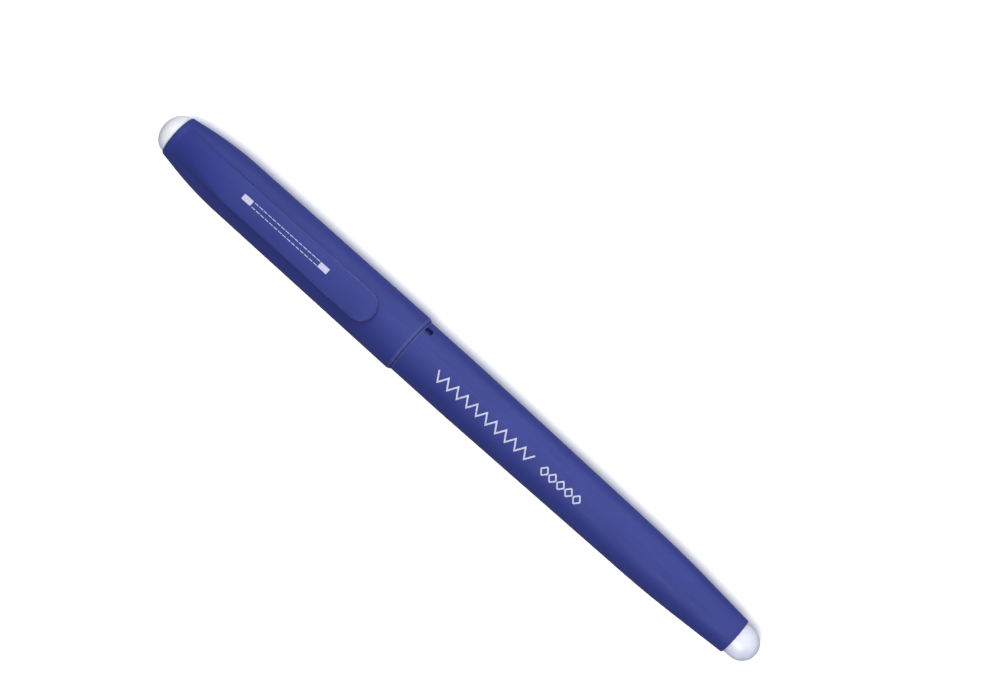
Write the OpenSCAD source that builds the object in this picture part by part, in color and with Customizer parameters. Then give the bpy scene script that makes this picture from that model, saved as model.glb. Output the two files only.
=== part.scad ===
// Capped erasable-ink pen for marking fabric, lying on its side with its pocket clip up.
// Every length along the pen is a station: millimetres from the seam where the cap's mouth
// meets the barrel, positive towards the cap's end, which is also where the point writes.

/* [Cap] */
// Length of the blue cap from its mouth to its end rim
cap_length = 57.7; // [57:0.1:59]
// Outer diameter of the cap just behind its mouth
cap_mouth_d = 12; // [11.9:0.05:12.2]
// Outer diameter of the cap's end rim
cap_end_d = 8.6; // [8.4:0.1:8.8]
// Height of the rubber dome that stands out of the cap's end
cap_dome_height = 3.3; // [2.6:0.1:3.6]

/* [Clip] */
// Width of the clip
clip_width = 6.1; // [5.4:0.1:6.6]
// Station of the clip's free tip
clip_tip = 7.9; // [7:0.1:12]
// Station where the clip leaves the cap
clip_root = 40.3; // [39.5:0.1:41.5]
// Height of the clip's top above the pen's axis
clip_top = 8.05; // [7.9:0.05:8.4]
// Thickness of the clip
clip_thickness = 1.1; // [0.9:0.05:1.2]

/* [Barrel] */
// Length of the barrel from its front rim to its end rim
barrel_length = 79; // [78:0.5:84]
// Outer diameter of the barrel's straight front stretch
barrel_d = 11.2; // [11.1:0.05:11.3]
// Outer diameter of the barrel's end rim
barrel_end_d = 7.45; // [7.4:0.05:7.8]
// Height of the rubber dome that stands out of the barrel's end
end_dome_height = 5; // [4:0.1:5.4]

/* [Front section] */
// Station of the writing point
point = 38; // [37:0.5:38]
// Diameter of the rubber grip at its rear end
grip_d = 9.2; // [8.8:0.1:9.4]

/* [Refill] */
// Outer diameter of the refill tube
refill_d = 6; // [5.8:0.1:6]
// Diameter of the writing ball
ball_d = 0.7; // [0.6:0.05:0.8]

/* [Hidden] */
$fn = 96;

blue = "#3d4590";
deep_blue = "#2c3478";
milky = "#e4e6f0";
natural = "#eceef4";
steel = "#b9bcc4";
ink_blue = "#1c2fb4";

// The pen's own frame: the origin is under the middle of the pen, on the surface it lies on.
axis_height = cap_mouth_d / 2;
seam_x = (barrel_length + end_dome_height - cap_length - cap_dome_height) / 2;

// Radius of a profile that leaves its end at one slope, bends evenly and goes on at another.
function bent_r(x, r_end, slope, run, blend, far_slope) =
    x < run ? r_end + slope * x
    : x < run + blend ? r_end + slope * x + (far_slope - slope) * pow(x - run, 2) / (2 * blend)
    : r_end + slope * x + (far_slope - slope) * (x - run - blend / 2);

function steps(from, to, count) = [for (i = [0:count]) from + (to - from) * i / count];

// Points of a round edge between two angles, about a centre given as [radius, station].
function rounding(centre, r, from, to, count = 5) =
    [for (a = steps(from, to, count)) centre + r * [cos(a), sin(a)]];

// Cap, outer profile, measured from its end.
cap_end_slope = 0.165;
cap_end_run = 3.5;
cap_bend = 11;
cap_bend_end = cap_end_run + cap_bend;
cap_end_round = 0.3;
lip_gap = 0.05;
lip_length = 0.6;
lip_depth = 0.2;
cap_body_slope = (cap_mouth_d - cap_end_d - cap_end_slope * (2 * cap_end_run + cap_bend))
    / (2 * (cap_length - lip_gap - lip_length) - 2 * cap_end_run - cap_bend);
function cap_r(x) = bent_r(x, cap_end_d / 2, cap_end_slope, cap_end_run, cap_bend, cap_body_slope);

// Cap, inner profile, by station.
cap_bore_r = 5.05;
cap_bore_end = 27;
inner_cap_r = 4.6;
inner_cap_end = 45;
cap_web_end = 47.5;
cap_vent_r = 0.8;
eraser_stem_r = 3;
dome_seat_r = 4;
dome_seat_depth = 0.4;
snap_station = 6;
snap_r = 4.97;
snap_groove_r = 5.2;

// Clip.
clip_crown_r = 16;
clip_tip_drop = 0.35;
clip_bead_r = 0.8;
clip_bead_gap = 0.05;
knuckle_r = 0.42;
knuckle_gap = 0.05;
knuckle_station = clip_root + 1.1;
knuckle_height = clip_top - 0.9;
knuckle_length = 4.4;
neck_height = 0.42;
neck_gap = 0.12;
root_gap = 0.15;
hump_end = cap_length - 1;
hump_steps = 12;
hump_base = 3.5;
hump_sink = 0.3;
hump_flare = 0.3;
hump_shoulder = 0.6;
hump_corner = 0.25;

// Barrel, outer profile, measured from its end.
barrel_end_slope = 0.072;
barrel_end_run = 11.2;
barrel_bend = 12;
hold_length = 13;
barrel_body_slope =
    (barrel_d / 2 - barrel_end_d / 2 - barrel_end_slope * (barrel_end_run + barrel_bend / 2))
    / (barrel_length - hold_length - barrel_end_run - barrel_bend / 2);
function barrel_r(x) =
    bent_r(x, barrel_end_d / 2, barrel_end_slope, barrel_end_run, barrel_bend, barrel_body_slope);

// Barrel, inner profile, by station.
spigot_depth = 14;
spigot_r = 4.45;
running_gap = 0.05;
barrel_bore_r = 4.05;
barrel_tail_r = 3.25;
tail_bore_start = -54;
tail_bore_end = -68;
barrel_step = -72.5;
end_stem_r = 2.7;
end_dome_r = 3.4;
end_seat_depth = 0.3;
rim_chamfer = 0.1;
rib_count = 4;
rib_thickness = 0.8;
rib_start = -40;
rib_end = -56;

// Keyway inside the barrel's front rim, with a window behind the rim that shows the front
// section's key.
key_angle = 51.5;
keyway_width = 1.6;
keyway_depth = 1.9;
keyway_r = 5.1;
window_start = 0.35;
key_width = 1.4;
key_depth = 1.75;
key_r = 5;

// Front section, by station.
flange_gap = 0.02;
flange_r = 4.95;
flange_end = 1.5;
neck_r = 4.7;
core_r = 3.7;
sleeve_start = 9;
sleeve_end = 26.5;
sleeve_front_r = 4.25;
socket_end = 25;
cone_tip = 34;
cone_joint = 22.5;
cone_spigot_r = 3.25;
refill_gap = 0.08;
nose_bore_r = 2.75;

// Refill, by station.
refill_r = refill_d / 2;
refill_bore_r = 2.35;
refill_tail = -72;
tube_start = -70;
tube_end = 15;
holder_flange_end = 16.5;
holder_r = 2.55;
ink_start = -52;
follower_length = 6;
float_r = 1.1;
float_length = 4;
shank_r = 1.0;
shank_start = 20;
tip_r = 1.17;
tip_shoulder = 26;
tip_cone_start = point - 3.1;
tip_lip_r = 0.42;
ink_bore_r = 0.62;
ball_r = ball_d / 2;
ball_clearance = 0.015;
ball_station = point - ball_r;

// A round part, turned about the pen's axis from its half outline of [radius, station] points.
module turned(outline) {
    on_axis() rotate([0, 90, 0]) rotate_extrude() polygon(outline);
}

// Moves what is drawn about the seam's centre, with X along the pen, to its place.
module on_axis() {
    translate([seam_x, 0, axis_height]) children();
}

// A round hole or pin along the pen's axis between two stations.
module along(r, from, to) {
    on_axis() translate([from, 0, 0]) rotate([0, 90, 0]) cylinder(r = r, h = to - from);
}

// Outer outline of the cap from its mouth to its end rim.
function cap_outline() = concat(
    [[cap_r(cap_length) - lip_depth, lip_gap]],
    rounding([cap_mouth_d / 2 - lip_depth, lip_gap + lip_length], lip_depth, -60, 0, 4),
    [for (x = steps(cap_bend_end, cap_end_run, 9)) [cap_r(x), cap_length - x]],
    rounding([cap_r(0) - cap_end_round, cap_length - cap_end_round], cap_end_round, 10, 90, 4)
);

// Top line of the clip's root seen from the side, for t from 0 at its front face to 1 at its end.
function hump_top(t) =
    let (
        station = clip_root + (hump_end - clip_root) * t,
        rise = (clip_top - cap_r(cap_length - clip_root)) * pow(1 - t * t, 1.2)
    )
    [station, cap_r(cap_length - station) + rise - hump_sink * t * t];

// The root of the clip seen from the side.
module hump_side() {
    line = [for (t = steps(0, 1, hump_steps)) hump_top(t)];
    rotate([90, 0, 0]) linear_extrude(height = 2 * clip_width, center = true)
        polygon(concat([[clip_root, hump_base]], line, [[hump_end, hump_base]]));
}

// The root of the clip seen along the pen.
module hump_section() {
    shoulder = clip_top - hump_shoulder;
    inset = clip_width / 2 - hump_shoulder;
    outline = concat(
        [[clip_width / 2 + hump_flare, hump_base]],
        rounding([inset, shoulder], hump_shoulder, 5, 80),
        rounding([-inset, shoulder], hump_shoulder, 100, 175),
        [[-clip_width / 2 - hump_flare, hump_base]]
    );
    translate([clip_root, 0, 0]) rotate([90, 0, 90])
        linear_extrude(height = hump_end - clip_root) polygon(outline);
}

// A round body that keeps the root's corners from standing out where it sinks into the cap.
module hump_limit() {
    line = [for (t = steps(0, 1, hump_steps)) let (p = hump_top(t)) [p[1] + hump_corner * (1 - t), p[0]]];
    rotate([0, 90, 0]) rotate_extrude()
        polygon(concat([[0, clip_root - 1], [line[0][0], clip_root - 1]], line, [[0, hump_end]]));
}

// The root of the clip, which fades into the cap's end.
module clip_root_hump() {
    intersection() {
        hump_side();
        hump_section();
        hump_limit();
    }
}

// The seat in the clip's root that the arm's round end turns in.
module knuckle_seat() {
    seat_length = knuckle_length + 2 * knuckle_gap;
    slot_height = neck_height + 2 * neck_gap;
    translate([knuckle_station, 0, knuckle_height]) rotate([90, 0, 0])
        cylinder(r = knuckle_r + knuckle_gap, h = seat_length, center = true);
    translate([clip_root - 1, -seat_length / 2, knuckle_height - slot_height / 2])
        cube([knuckle_station - clip_root + 1, seat_length, slot_height]);
}

module cap_shell() {
    color(blue) difference() {
        union() {
            turned(concat([[0, lip_gap]], cap_outline(), [[0, cap_length]]));
            on_axis() clip_root_hump();
        }
        turned([
            [0, 0], [cap_bore_r + 0.3, 0], [cap_bore_r, lip_gap + 0.3],
            [cap_bore_r, snap_station - 0.5], [snap_groove_r, snap_station - 0.2],
            [snap_groove_r, snap_station + 0.2], [cap_bore_r, snap_station + 0.5],
            [cap_bore_r, cap_bore_end], [inner_cap_r, cap_bore_end + 0.4],
            [inner_cap_r, inner_cap_end], [0, inner_cap_end],
        ]);
        along(cap_vent_r, inner_cap_end - 1, cap_web_end + 1);
        along(eraser_stem_r + 0.02, cap_web_end, cap_length + 1);
        along(dome_seat_r, cap_length - dome_seat_depth, cap_length + 1);
        on_axis() knuckle_seat();
    }
}

// The clip's arm seen from the side, as [station, height] points above the pen's axis.
function clip_side() =
    let (tip_top = clip_top - clip_tip_drop)
    [
        [clip_root - root_gap, clip_top - clip_thickness], [clip_root - root_gap, clip_top],
        [clip_tip + 3, tip_top], [clip_tip + 1.2, tip_top - 0.15], [clip_tip, tip_top - 0.6],
        [clip_tip, tip_top - clip_thickness], [clip_tip + 3, tip_top - clip_thickness],
    ];

module clip_arm() {
    intersection() {
        rotate([90, 0, 0]) linear_extrude(height = clip_width, center = true) polygon(clip_side());
        union() {
            translate([clip_tip + clip_width / 2, 0, 0]) cylinder(d = clip_width, h = 2 * clip_top);
            translate([clip_tip + clip_width / 2, -clip_width / 2, 0])
                cube([clip_root - clip_tip - clip_width / 2, clip_width, 2 * clip_top]);
        }
        translate([0, 0, clip_top - clip_crown_r]) rotate([0, 90, 0])
            cylinder(r = clip_crown_r, h = clip_root);
    }
}

// The bead under the clip's tip that presses on the cap.
module clip_bead() {
    height = cap_mouth_d / 2 + clip_bead_gap + clip_bead_r;
    translate([clip_tip + 2.4, 0, height]) rotate([90, 0, 0])
        cylinder(r = clip_bead_r, h = clip_width * 0.6, center = true);
}

module pocket_clip() {
    color(blue) on_axis() union() {
        clip_arm();
        clip_bead();
        translate([knuckle_station, 0, knuckle_height]) rotate([90, 0, 0])
            cylinder(r = knuckle_r, h = knuckle_length, center = true);
        translate([clip_root - 1, -knuckle_length / 2, knuckle_height - neck_height / 2])
            cube([knuckle_station - clip_root + 1, knuckle_length, neck_height]);
    }
}

// Liner that closes round the nose cone so that the ink at the point can't dry.
module inner_cap() {
    mouth = 28;
    color(natural) difference() {
        along(inner_cap_r - 0.02, mouth, inner_cap_end - 0.1);
        turned([
            [0, mouth - 1], [4.25, mouth - 1], [3.98, mouth], [3.43, 30], [2.78, 32],
            [2.18, 33.8], [1.62, 35], [1.62, 41.2], [0, 41.2],
        ]);
        turned([
            [0, 42.6], [3.2, 42.6], [3.6, 43], [3.6, inner_cap_end], [0, inner_cap_end],
        ]);
    }
}

// Soft pellet that the writing ball rests against inside the closed cap.
module tip_seal() {
    front = point + 0.04;
    color(milky) difference() {
        turned([
            [0, front], [1.1, front], [1.6, front + 0.5], [1.6, 41.1], [0, 41.1],
        ]);
        turned([[0, 40.2], [0.6, 40.6], [0.6, 41.2], [0, 41.2]]);
    }
}

// A rubber dome on a stem: its outline runs from the stem's end to the top of the dome.
function domed_stem(stem_r, stem_end, seat_r, seat, straight, top, direction) =
    concat(
        [[0, stem_end], [stem_r - 0.4, stem_end], [stem_r, stem_end + direction * 0.6],
            [stem_r, seat], [seat_r, seat], [seat_r - 0.03 * straight, seat + direction * straight]],
        [for (a = steps(10, 90, 8))
            [(seat_r - 0.03 * straight) * cos(a),
                seat + direction * straight + (top - seat - direction * straight) * sin(a)]]
    );

module cap_eraser() {
    seat = cap_length - dome_seat_depth;
    color(milky)
        turned(domed_stem(
            eraser_stem_r, cap_web_end + 0.4, dome_seat_r - 0.03, seat,
            dome_seat_depth + 0.2, cap_length + cap_dome_height, 1
        ));
}

module end_eraser() {
    seat = -barrel_length + end_seat_depth;
    color(milky)
        turned(domed_stem(
            end_stem_r, barrel_step - 1, end_dome_r - 0.03, seat,
            end_seat_depth + 2.2, -barrel_length - end_dome_height, -1
        ));
}

function barrel_outline() = concat(
    [[barrel_d / 2 - rim_chamfer, 0], [barrel_d / 2, -rim_chamfer], [barrel_d / 2, -hold_length]],
    [for (x = steps(barrel_end_run + barrel_bend, barrel_end_run, 9)) [barrel_r(x), x - barrel_length]],
    rounding([barrel_r(0) - 0.3, 0.3 - barrel_length], 0.3, -5, -90, 4)
);

module barrel() {
    bore = spigot_r + running_gap;
    color(blue) difference() {
        union() {
            difference() {
                turned(concat([[0, 0]], barrel_outline(), [[0, -barrel_length]]));
                turned([
                    [0, 1], [bore + 0.3, 1], [bore + 0.3, 0], [bore, -0.3], [bore, -spigot_depth - 0.3],
                    [barrel_bore_r, -spigot_depth - 0.8], [barrel_bore_r, tail_bore_start],
                    [barrel_tail_r, tail_bore_end], [barrel_tail_r, barrel_step], [0, barrel_step],
                ]);
            }
            on_axis() for (i = [0:rib_count - 1]) rotate([45 + i * 360 / rib_count, 0, 0])
                translate([rib_end, -rib_thickness / 2, refill_r + 0.15])
                    cube([rib_start - rib_end, rib_thickness, barrel_bore_r + 0.3 - refill_r - 0.15]);
        }
        along(end_stem_r + 0.02, -barrel_length - 1, barrel_step + 1);
        along(end_dome_r, -barrel_length - 1, -barrel_length + end_seat_depth);
        on_axis() rotate([key_angle, 0, 0]) {
            translate([-keyway_depth, -keyway_width / 2, spigot_r - 0.3])
                cube([keyway_depth + 1, keyway_width, keyway_r - spigot_r + 0.3]);
            translate([-keyway_depth, -keyway_width / 2, spigot_r - 0.3])
                cube([keyway_depth - window_start, keyway_width, 3]);
        }
    }
}

// Front section: the spigot in the barrel, the flange that meets its rim, the neck that the
// cap snaps on and the core under the grip.
module section_body() {
    color(deep_blue) difference() {
        union() {
            turned(concat(
                [[0, -spigot_depth], [spigot_r - 0.4, -spigot_depth], [spigot_r, -spigot_depth + 0.6],
                    [spigot_r, flange_gap], [flange_r, flange_gap], [flange_r, flange_end],
                    [neck_r, flange_end + 0.3]],
                rounding([snap_r - 0.35, snap_station], 0.35, -75, 75, 6),
                [[neck_r, sleeve_start - 0.3], [neck_r - 0.3, sleeve_start], [core_r, sleeve_start],
                    [core_r, cone_joint], [cone_spigot_r, cone_joint], [cone_spigot_r, socket_end],
                    [0, socket_end]]
            ));
            on_axis() rotate([key_angle, 0, 0])
                translate([-key_depth, -key_width / 2, spigot_r - 1])
                    cube([key_depth + flange_gap, key_width, key_r - spigot_r + 1]);
        }
        along(refill_r + refill_gap, -spigot_depth - 1, holder_flange_end + 0.02);
        along(nose_bore_r, holder_flange_end - 1, socket_end + 1);
    }
}

// Ribbed soft grip, held between the neck's shoulder and the nose cone.
module grip_sleeve() {
    rib_pitch = 1.4;
    first_groove = sleeve_start + 3;
    grooves = 8;
    rear = sleeve_start + 0.05;
    front = sleeve_end - 0.05;
    function sleeve_r(s) = grip_d / 2 + (sleeve_front_r - grip_d / 2) * (s - rear) / (front - rear);
    color(deep_blue) difference() {
        turned([
            [core_r + 0.02, rear], [sleeve_r(rear) - 0.25, rear], [sleeve_r(rear), rear + 0.25],
            [sleeve_r(front), front - 0.25], [sleeve_r(front) - 0.25, front], [core_r + 0.02, front],
        ]);
        on_axis() for (i = [0:grooves - 1]) let (s = first_groove + i * rib_pitch)
            translate([s, 0, 0]) rotate([0, 90, 0]) rotate_extrude()
                translate([sleeve_r(s) + 0.05, 0]) circle(r = 0.3, $fn = 24);
    }
}

module nose_cone() {
    tip_round = 0.35;
    color(blue) difference() {
        turned(concat(
            [[0, cone_joint + 0.05], [core_r - 0.02, cone_joint + 0.05], [core_r - 0.02, sleeve_end],
                [sleeve_front_r - 0.15, sleeve_end], [sleeve_front_r - 0.1, sleeve_end + 0.5],
                [3.85, 28], [3.3, 30], [2.65, 32]],
            rounding([2.05 - tip_round, cone_tip - tip_round], tip_round, 25, 90, 4),
            [[0, cone_tip]]
        ));
        along(cone_spigot_r + 0.02, cone_joint, socket_end + 0.1);
        turned([
            [0, socket_end], [nose_bore_r, socket_end], [2.2, 27], [1.25, 30], [1.25, 36], [0, 36],
        ]);
    }
}

module refill_tube() {
    color(natural) difference() {
        along(refill_r, tube_start, tube_end);
        along(refill_bore_r, tube_start - 1, tube_end + 1);
    }
}

module ink_column() {
    color(ink_blue) along(refill_bore_r - 0.02, ink_start, tube_end - 4.2);
}

// Clear grease that follows the ink along the tube.
module follower_grease() {
    color(natural) difference() {
        along(refill_bore_r - 0.03, ink_start - follower_length, ink_start - 0.05);
        along(float_r + 0.02, ink_start - follower_length + 0.8, ink_start - 1.1);
    }
}

// Plastic float inside the grease, which keeps it square in the tube.
module follower_float() {
    from = ink_start - follower_length + 0.85;
    color(milky) turned([
        [0, from], [float_r - 0.3, from], [float_r, from + 0.3], [float_r, from + float_length - 0.3],
        [float_r - 0.3, from + float_length], [0, from + float_length],
    ]);
}

module refill_tail_plug() {
    color(blue) difference() {
        turned([
            [0, refill_tail], [refill_r - 0.3, refill_tail], [refill_r, refill_tail + 0.3],
            [refill_r, tube_start - 0.02], [refill_bore_r - 0.02, tube_start - 0.02],
            [refill_bore_r - 0.02, tube_start + 3.6], [refill_bore_r - 0.3, tube_start + 4],
            [0, tube_start + 4],
        ]);
        along(0.6, refill_tail - 1, tube_start + 5);
    }
}

// Plastic piece that joins the metal tip to the refill tube.
module tip_holder() {
    color(natural) difference() {
        turned([
            [0, tube_end - 4], [refill_bore_r - 0.3, tube_end - 4], [refill_bore_r - 0.02, tube_end - 3.6],
            [refill_bore_r - 0.02, tube_end + 0.02], [refill_r, tube_end + 0.02],
            [refill_r, holder_flange_end], [holder_r, holder_flange_end], [holder_r, 21.5],
            [1.75, tip_shoulder - 0.05], [0, tip_shoulder - 0.05],
        ]);
        along(ink_bore_r, tube_end - 5, tip_shoulder);
        along(shank_r + 0.01, shank_start - 0.1, tip_shoulder);
    }
}

module writing_tip() {
    seat_r = ball_r + ball_clearance;
    color(steel) difference() {
        turned([
            [0, shank_start], [shank_r - 0.15, shank_start], [shank_r, shank_start + 0.3],
            [shank_r, tip_shoulder], [tip_r, tip_shoulder], [tip_r, tip_cone_start],
            [tip_r - 0.08, tip_cone_start + 0.2], [tip_lip_r, point - 0.34],
            [ball_r + 0.01, point - 0.2], [0, point - 0.2],
        ]);
        along(ink_bore_r, shank_start - 1, tip_cone_start);
        along(0.22, tip_cone_start - 0.1, point);
        on_axis() translate([ball_station, 0, 0]) sphere(r = seat_r);
    }
}

// Fine spring whose straight end keeps the ball against its lip.
module tip_spring() {
    wire_r = 0.06;
    coil_r = 0.45;
    turns = 7;
    per_turn = 12;
    from = shank_start + 0.4;
    coil_length = 11;
    push_from = from + coil_length + 0.6;
    push_to = ball_station - ball_r - 0.05;
    coil = [for (i = [0:turns * per_turn])
        let (a = 360 * i / per_turn, s = from + coil_length * i / (turns * per_turn))
        [s, coil_r * cos(a), coil_r * sin(a)]];
    path = concat(coil, [[push_from, 0, 0], [push_to - 1, 0, 0], [push_to, 0, 0]]);
    color(steel) on_axis() swept(path, wire_r, 5);
}

// A wire of round section that follows a path of points.
module swept(path, r, sides) {
    last = len(path) - 1;
    function heading(i) = let (d = path[min(i + 1, last)] - path[max(i - 1, 0)]) d / norm(d);
    // Each ring stands square to the path, with one side turned away from the pen's axis.
    function ring(i) =
        let (d = heading(i), side = cross(d, [0.1, 0.3, 1]), a = side / norm(side), b = cross(d, a))
        [for (k = [0:sides - 1]) path[i] + r * (a * cos(360 * k / sides) + b * sin(360 * k / sides))];
    polyhedron(
        points = [for (i = [0:last]) each ring(i)],
        faces = concat(
            [for (i = [0:last - 1], k = [0:sides - 1])
                let (p = i * sides + k, q = i * sides + (k + 1) % sides)
                each [[p, p + sides, q + sides], [p, q + sides, q]]],
            [[for (k = [0:sides - 1]) k], [for (k = [sides - 1:-1:0]) last * sides + k]]
        )
    );
}

module writing_ball() {
    color(steel) on_axis() translate([ball_station, 0, 0]) sphere(r = ball_r);
}

cap_shell();
pocket_clip();
inner_cap();
tip_seal();
cap_eraser();
barrel();
end_eraser();
section_body();
grip_sleeve();
nose_cone();
refill_tube();
ink_column();
follower_grease();
follower_float();
refill_tail_plug();
tip_holder();
writing_tip();
tip_spring();
writing_ball();
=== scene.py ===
import math

import bmesh
import bpy
from mathutils import Matrix, Vector


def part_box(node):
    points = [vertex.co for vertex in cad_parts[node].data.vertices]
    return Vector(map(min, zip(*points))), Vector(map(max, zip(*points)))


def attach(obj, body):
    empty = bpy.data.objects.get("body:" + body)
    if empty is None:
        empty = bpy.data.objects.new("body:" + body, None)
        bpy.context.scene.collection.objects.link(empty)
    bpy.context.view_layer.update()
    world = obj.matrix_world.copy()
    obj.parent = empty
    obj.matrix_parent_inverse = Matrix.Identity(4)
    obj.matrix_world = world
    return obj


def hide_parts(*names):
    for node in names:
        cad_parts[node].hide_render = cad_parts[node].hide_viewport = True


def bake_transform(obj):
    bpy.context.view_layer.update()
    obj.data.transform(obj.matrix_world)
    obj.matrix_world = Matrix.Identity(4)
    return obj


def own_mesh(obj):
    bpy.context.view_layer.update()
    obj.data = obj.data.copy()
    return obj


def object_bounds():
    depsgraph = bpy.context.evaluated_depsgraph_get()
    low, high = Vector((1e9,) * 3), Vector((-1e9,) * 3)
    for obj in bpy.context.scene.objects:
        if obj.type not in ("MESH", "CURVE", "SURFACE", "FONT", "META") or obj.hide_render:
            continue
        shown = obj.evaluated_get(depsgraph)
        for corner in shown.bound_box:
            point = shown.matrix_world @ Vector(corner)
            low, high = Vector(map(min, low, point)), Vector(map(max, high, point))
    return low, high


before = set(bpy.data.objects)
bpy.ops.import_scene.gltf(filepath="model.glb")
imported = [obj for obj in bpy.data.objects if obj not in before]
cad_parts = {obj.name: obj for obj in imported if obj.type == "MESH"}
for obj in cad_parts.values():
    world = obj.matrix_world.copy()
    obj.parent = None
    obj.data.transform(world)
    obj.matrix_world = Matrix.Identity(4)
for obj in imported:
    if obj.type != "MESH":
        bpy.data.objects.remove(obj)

cad_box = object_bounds()

# ---------------------------------------------------------------------------
# Places. As in the CAD, a station is a distance in millimetres along the pen
# from the seam where the cap's mouth meets the barrel, positive towards the
# cap's end. Heights are in millimetres above the pen's axis.
# ---------------------------------------------------------------------------
MM = 0.001
SEAM_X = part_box("barrel")[1].x
AXIS_Z = (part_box("barrel")[0].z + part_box("barrel")[1].z) / 2


def place(station, y, height):
    """The point in the frame of a station and the millimetres across and above the axis."""
    return Vector((SEAM_X + station * MM, y * MM, AXIS_Z + height * MM))


def first_station(node):
    return (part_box(node)[0].x - SEAM_X) / MM


def last_station(node):
    return (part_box(node)[1].x - SEAM_X) / MM


def radius_of(node):
    low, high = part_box(node)
    return (high.y - low.y) / 2 / MM


def steps(start, stop, count):
    """count + 1 even steps from start to stop."""
    return [start + (stop - start) * i / count for i in range(count + 1)]


def smooth(share):
    share = min(1.0, max(0.0, share))
    return share * share * (3 - 2 * share)


def blend_values(a, b, share):
    return a + (b - a) * share


# Driving sizes that a box can't give, in millimetres.
CAP_END = last_station("cap_shell")
CAP_MOUTH = first_station("cap_shell")
CAP_MOUTH_R = radius_of("cap_shell")
CAP_END_R = 4.3
CAP_END_SLOPE = 0.165
CAP_END_RUN = 3.5
CAP_BEND = 11
LIP_LENGTH = 0.6
LIP_DEPTH = 0.2
CAP_BORE_R = 5.05
LINER_SEAT = (27, 45)
LINER_SEAT_R = 4.6
CAP_WEB_END = 47.5
VENT_R = 0.8
CAP_STEM_R = 3.02
CAP_DOME_SEAT_R = 4.0
CAP_DOME_SEAT = CAP_END - 0.4
SNAP_GROOVE = (5.5, 6.5)
SNAP_GROOVE_DEPTH = 0.15
RIM_ROUNDING = 0.38

BARREL_END = first_station("barrel")
BARREL_R = radius_of("barrel")
BARREL_END_R = 3.725
BARREL_END_SLOPE = 0.072
BARREL_END_RUN = 11.2
BARREL_BEND = 12
BARREL_MOUTH_R = 4.5
BARREL_BORE_R = 4.05
BARREL_STEP = -14.3
END_DOME_SEAT = BARREL_END + 0.3
END_DOME_SEAT_R = 3.4
TAIL_BORE_R = 2.72
TAIL_CHAMBER_R = 3.25
HOLD_LENGTH = 13
KEY_ANGLE = 51.5
KEYWAY_WIDTH = 1.6
KEYWAY_DEPTH = 1.9
KEYWAY_FLOOR_R = 4.1
KEYWAY_R = 5.1
WINDOW_START = 0.35
WINDOW_TOP_R = 6.5

CLIP_TOP = (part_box("pocket_clip")[1].z - AXIS_Z) / MM - 0.04
CLIP_TIP = first_station("pocket_clip")
CLIP_HALF = radius_of("pocket_clip")
CLIP_ROOT = 40.3
CLIP_THICKNESS = 1.1
CLIP_DROP = 0.35
CLIP_CROWN_R = 16
CLIP_EDGE = 0.3


def bent_radius(x, end_r, slope, run, bend, far_slope):
    """A profile that leaves its end at one slope, bends evenly and goes on at another."""
    if x < run:
        return end_r + slope * x
    if x < run + bend:
        return end_r + slope * x + (far_slope - slope) * (x - run) ** 2 / (2 * bend)
    return end_r + slope * x + (far_slope - slope) * (x - run - bend / 2)


def far_slope(length, end_r, slope, run, bend, far_r):
    """The slope beyond the bend that brings such a profile to far_r at that length."""
    return (far_r - end_r - slope * (run + bend / 2)) / (length - run - bend / 2)


CAP_SLOPE = far_slope(
    CAP_END - CAP_MOUTH - LIP_LENGTH, CAP_END_R, CAP_END_SLOPE, CAP_END_RUN, CAP_BEND, CAP_MOUTH_R
)
BARREL_SLOPE = far_slope(
    -BARREL_END - HOLD_LENGTH, BARREL_END_R, BARREL_END_SLOPE, BARREL_END_RUN, BARREL_BEND, BARREL_R
)


def cap_radius(station):
    return bent_radius(
        CAP_END - station, CAP_END_R, CAP_END_SLOPE, CAP_END_RUN, CAP_BEND, CAP_SLOPE
    )


def barrel_radius(station):
    if station > -HOLD_LENGTH:
        return BARREL_R
    return bent_radius(
        station - BARREL_END, BARREL_END_R, BARREL_END_SLOPE, BARREL_END_RUN, BARREL_BEND, BARREL_SLOPE
    )


# ---------------------------------------------------------------------------
# Mesh tools
# ---------------------------------------------------------------------------
SHARP = math.radians(38)
TURNS = 192


def finish_mesh(name, bm):
    """Makes an object of a bmesh, smooth but for its sharp edges."""
    bmesh.ops.recalc_face_normals(bm, faces=bm.faces)
    mesh = bpy.data.meshes.new(name)
    bm.to_mesh(mesh)
    bm.free()
    mesh.polygons.foreach_set("use_smooth", [True] * len(mesh.polygons))
    mesh.set_sharp_from_angle(angle=SHARP)
    piece = bpy.data.objects.new(name, mesh)
    bpy.context.scene.collection.objects.link(piece)
    return piece


def corners(outline, count=5):
    """Points of a closed outline of (station, radius, rounding) corners, as (station, radius, wear)."""
    area = sum(
        a[0] * b[1] - b[0] * a[1] for a, b in zip(outline, outline[1:] + outline[:1])
    )
    points = []
    for i, (station, radius, rounding) in enumerate(outline):
        here = Vector((station, radius))
        if not rounding:
            points.append((station, radius, 0.0))
            continue
        back = Vector(outline[i - 1][:2]) - here
        ahead = Vector(outline[(i + 1) % len(outline)][:2]) - here
        reach = min(rounding, 0.45 * back.length, 0.45 * ahead.length)
        outer = (ahead.x * back.y - ahead.y * back.x) * area > 0
        start = here + back.normalized() * reach
        stop = here + ahead.normalized() * reach
        for t in steps(0, 1, count):
            point = start * (1 - t) ** 2 + here * 2 * t * (1 - t) + stop * t * t
            points.append((point.x, point.y, 4 * t * (1 - t) if outer else 0.0))
    return points


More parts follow.
